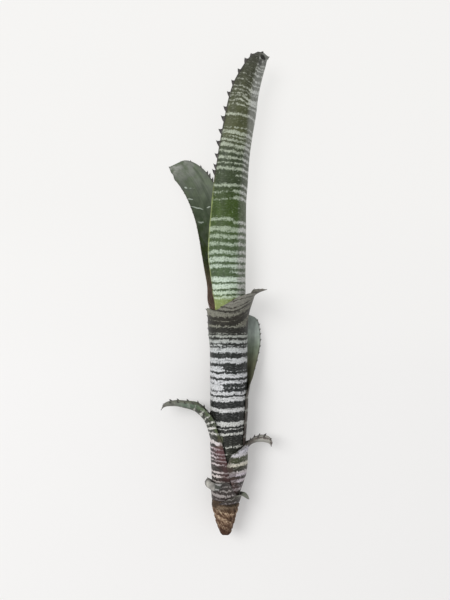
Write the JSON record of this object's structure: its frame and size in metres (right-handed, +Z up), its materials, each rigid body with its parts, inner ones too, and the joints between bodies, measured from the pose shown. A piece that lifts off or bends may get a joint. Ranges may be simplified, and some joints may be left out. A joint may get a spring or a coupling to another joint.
{
  "type": "billbergia plant",
  "caption": "Tube-shaped bromeliad offset lying on its back: wrapped, pale-banded leaf sheaths, spiny arching blades, one tall leaf and a bare stem stump.",
  "frame": {"origin": "middle of the plant's bounding box, at the surface that it lies on", "axes": "+Y along the plant from the cut end of its stem to the tip of its tallest leaf, +X to its right as seen from above, +Z up"},
  "size_m": [0.0806, 0.3446, 0.039],
  "materials": {
    "stem": "matte",
    "leaf_1_lowest_right": "matte",
    "leaf_2_low_left_ear": "matte",
    "leaf_3_arching_right": "satin",
    "leaf_4_arching_left": "satin",
    "leaf_5_back_right": "satin",
    "leaf_6_front_collar": "satin",
    "leaf_7_back_left": "satin",
    "leaf_8_tall": "satin"
  },
  "bodies": {
    "root": {"stem": "stem", "leaf_1_lowest_right": "leaf_1_lowest_right", "leaf_2_low_left_ear": "leaf_2_low_left_ear", "leaf_3_arching_right": "leaf_3_arching_right", "leaf_4_arching_left": "leaf_4_arching_left", "leaf_5_back_right": "leaf_5_back_right", "leaf_6_front_collar": "leaf_6_front_collar", "leaf_7_back_left": "leaf_7_back_left", "leaf_8_tall": "leaf_8_tall"}
  },
  "joints": []
}
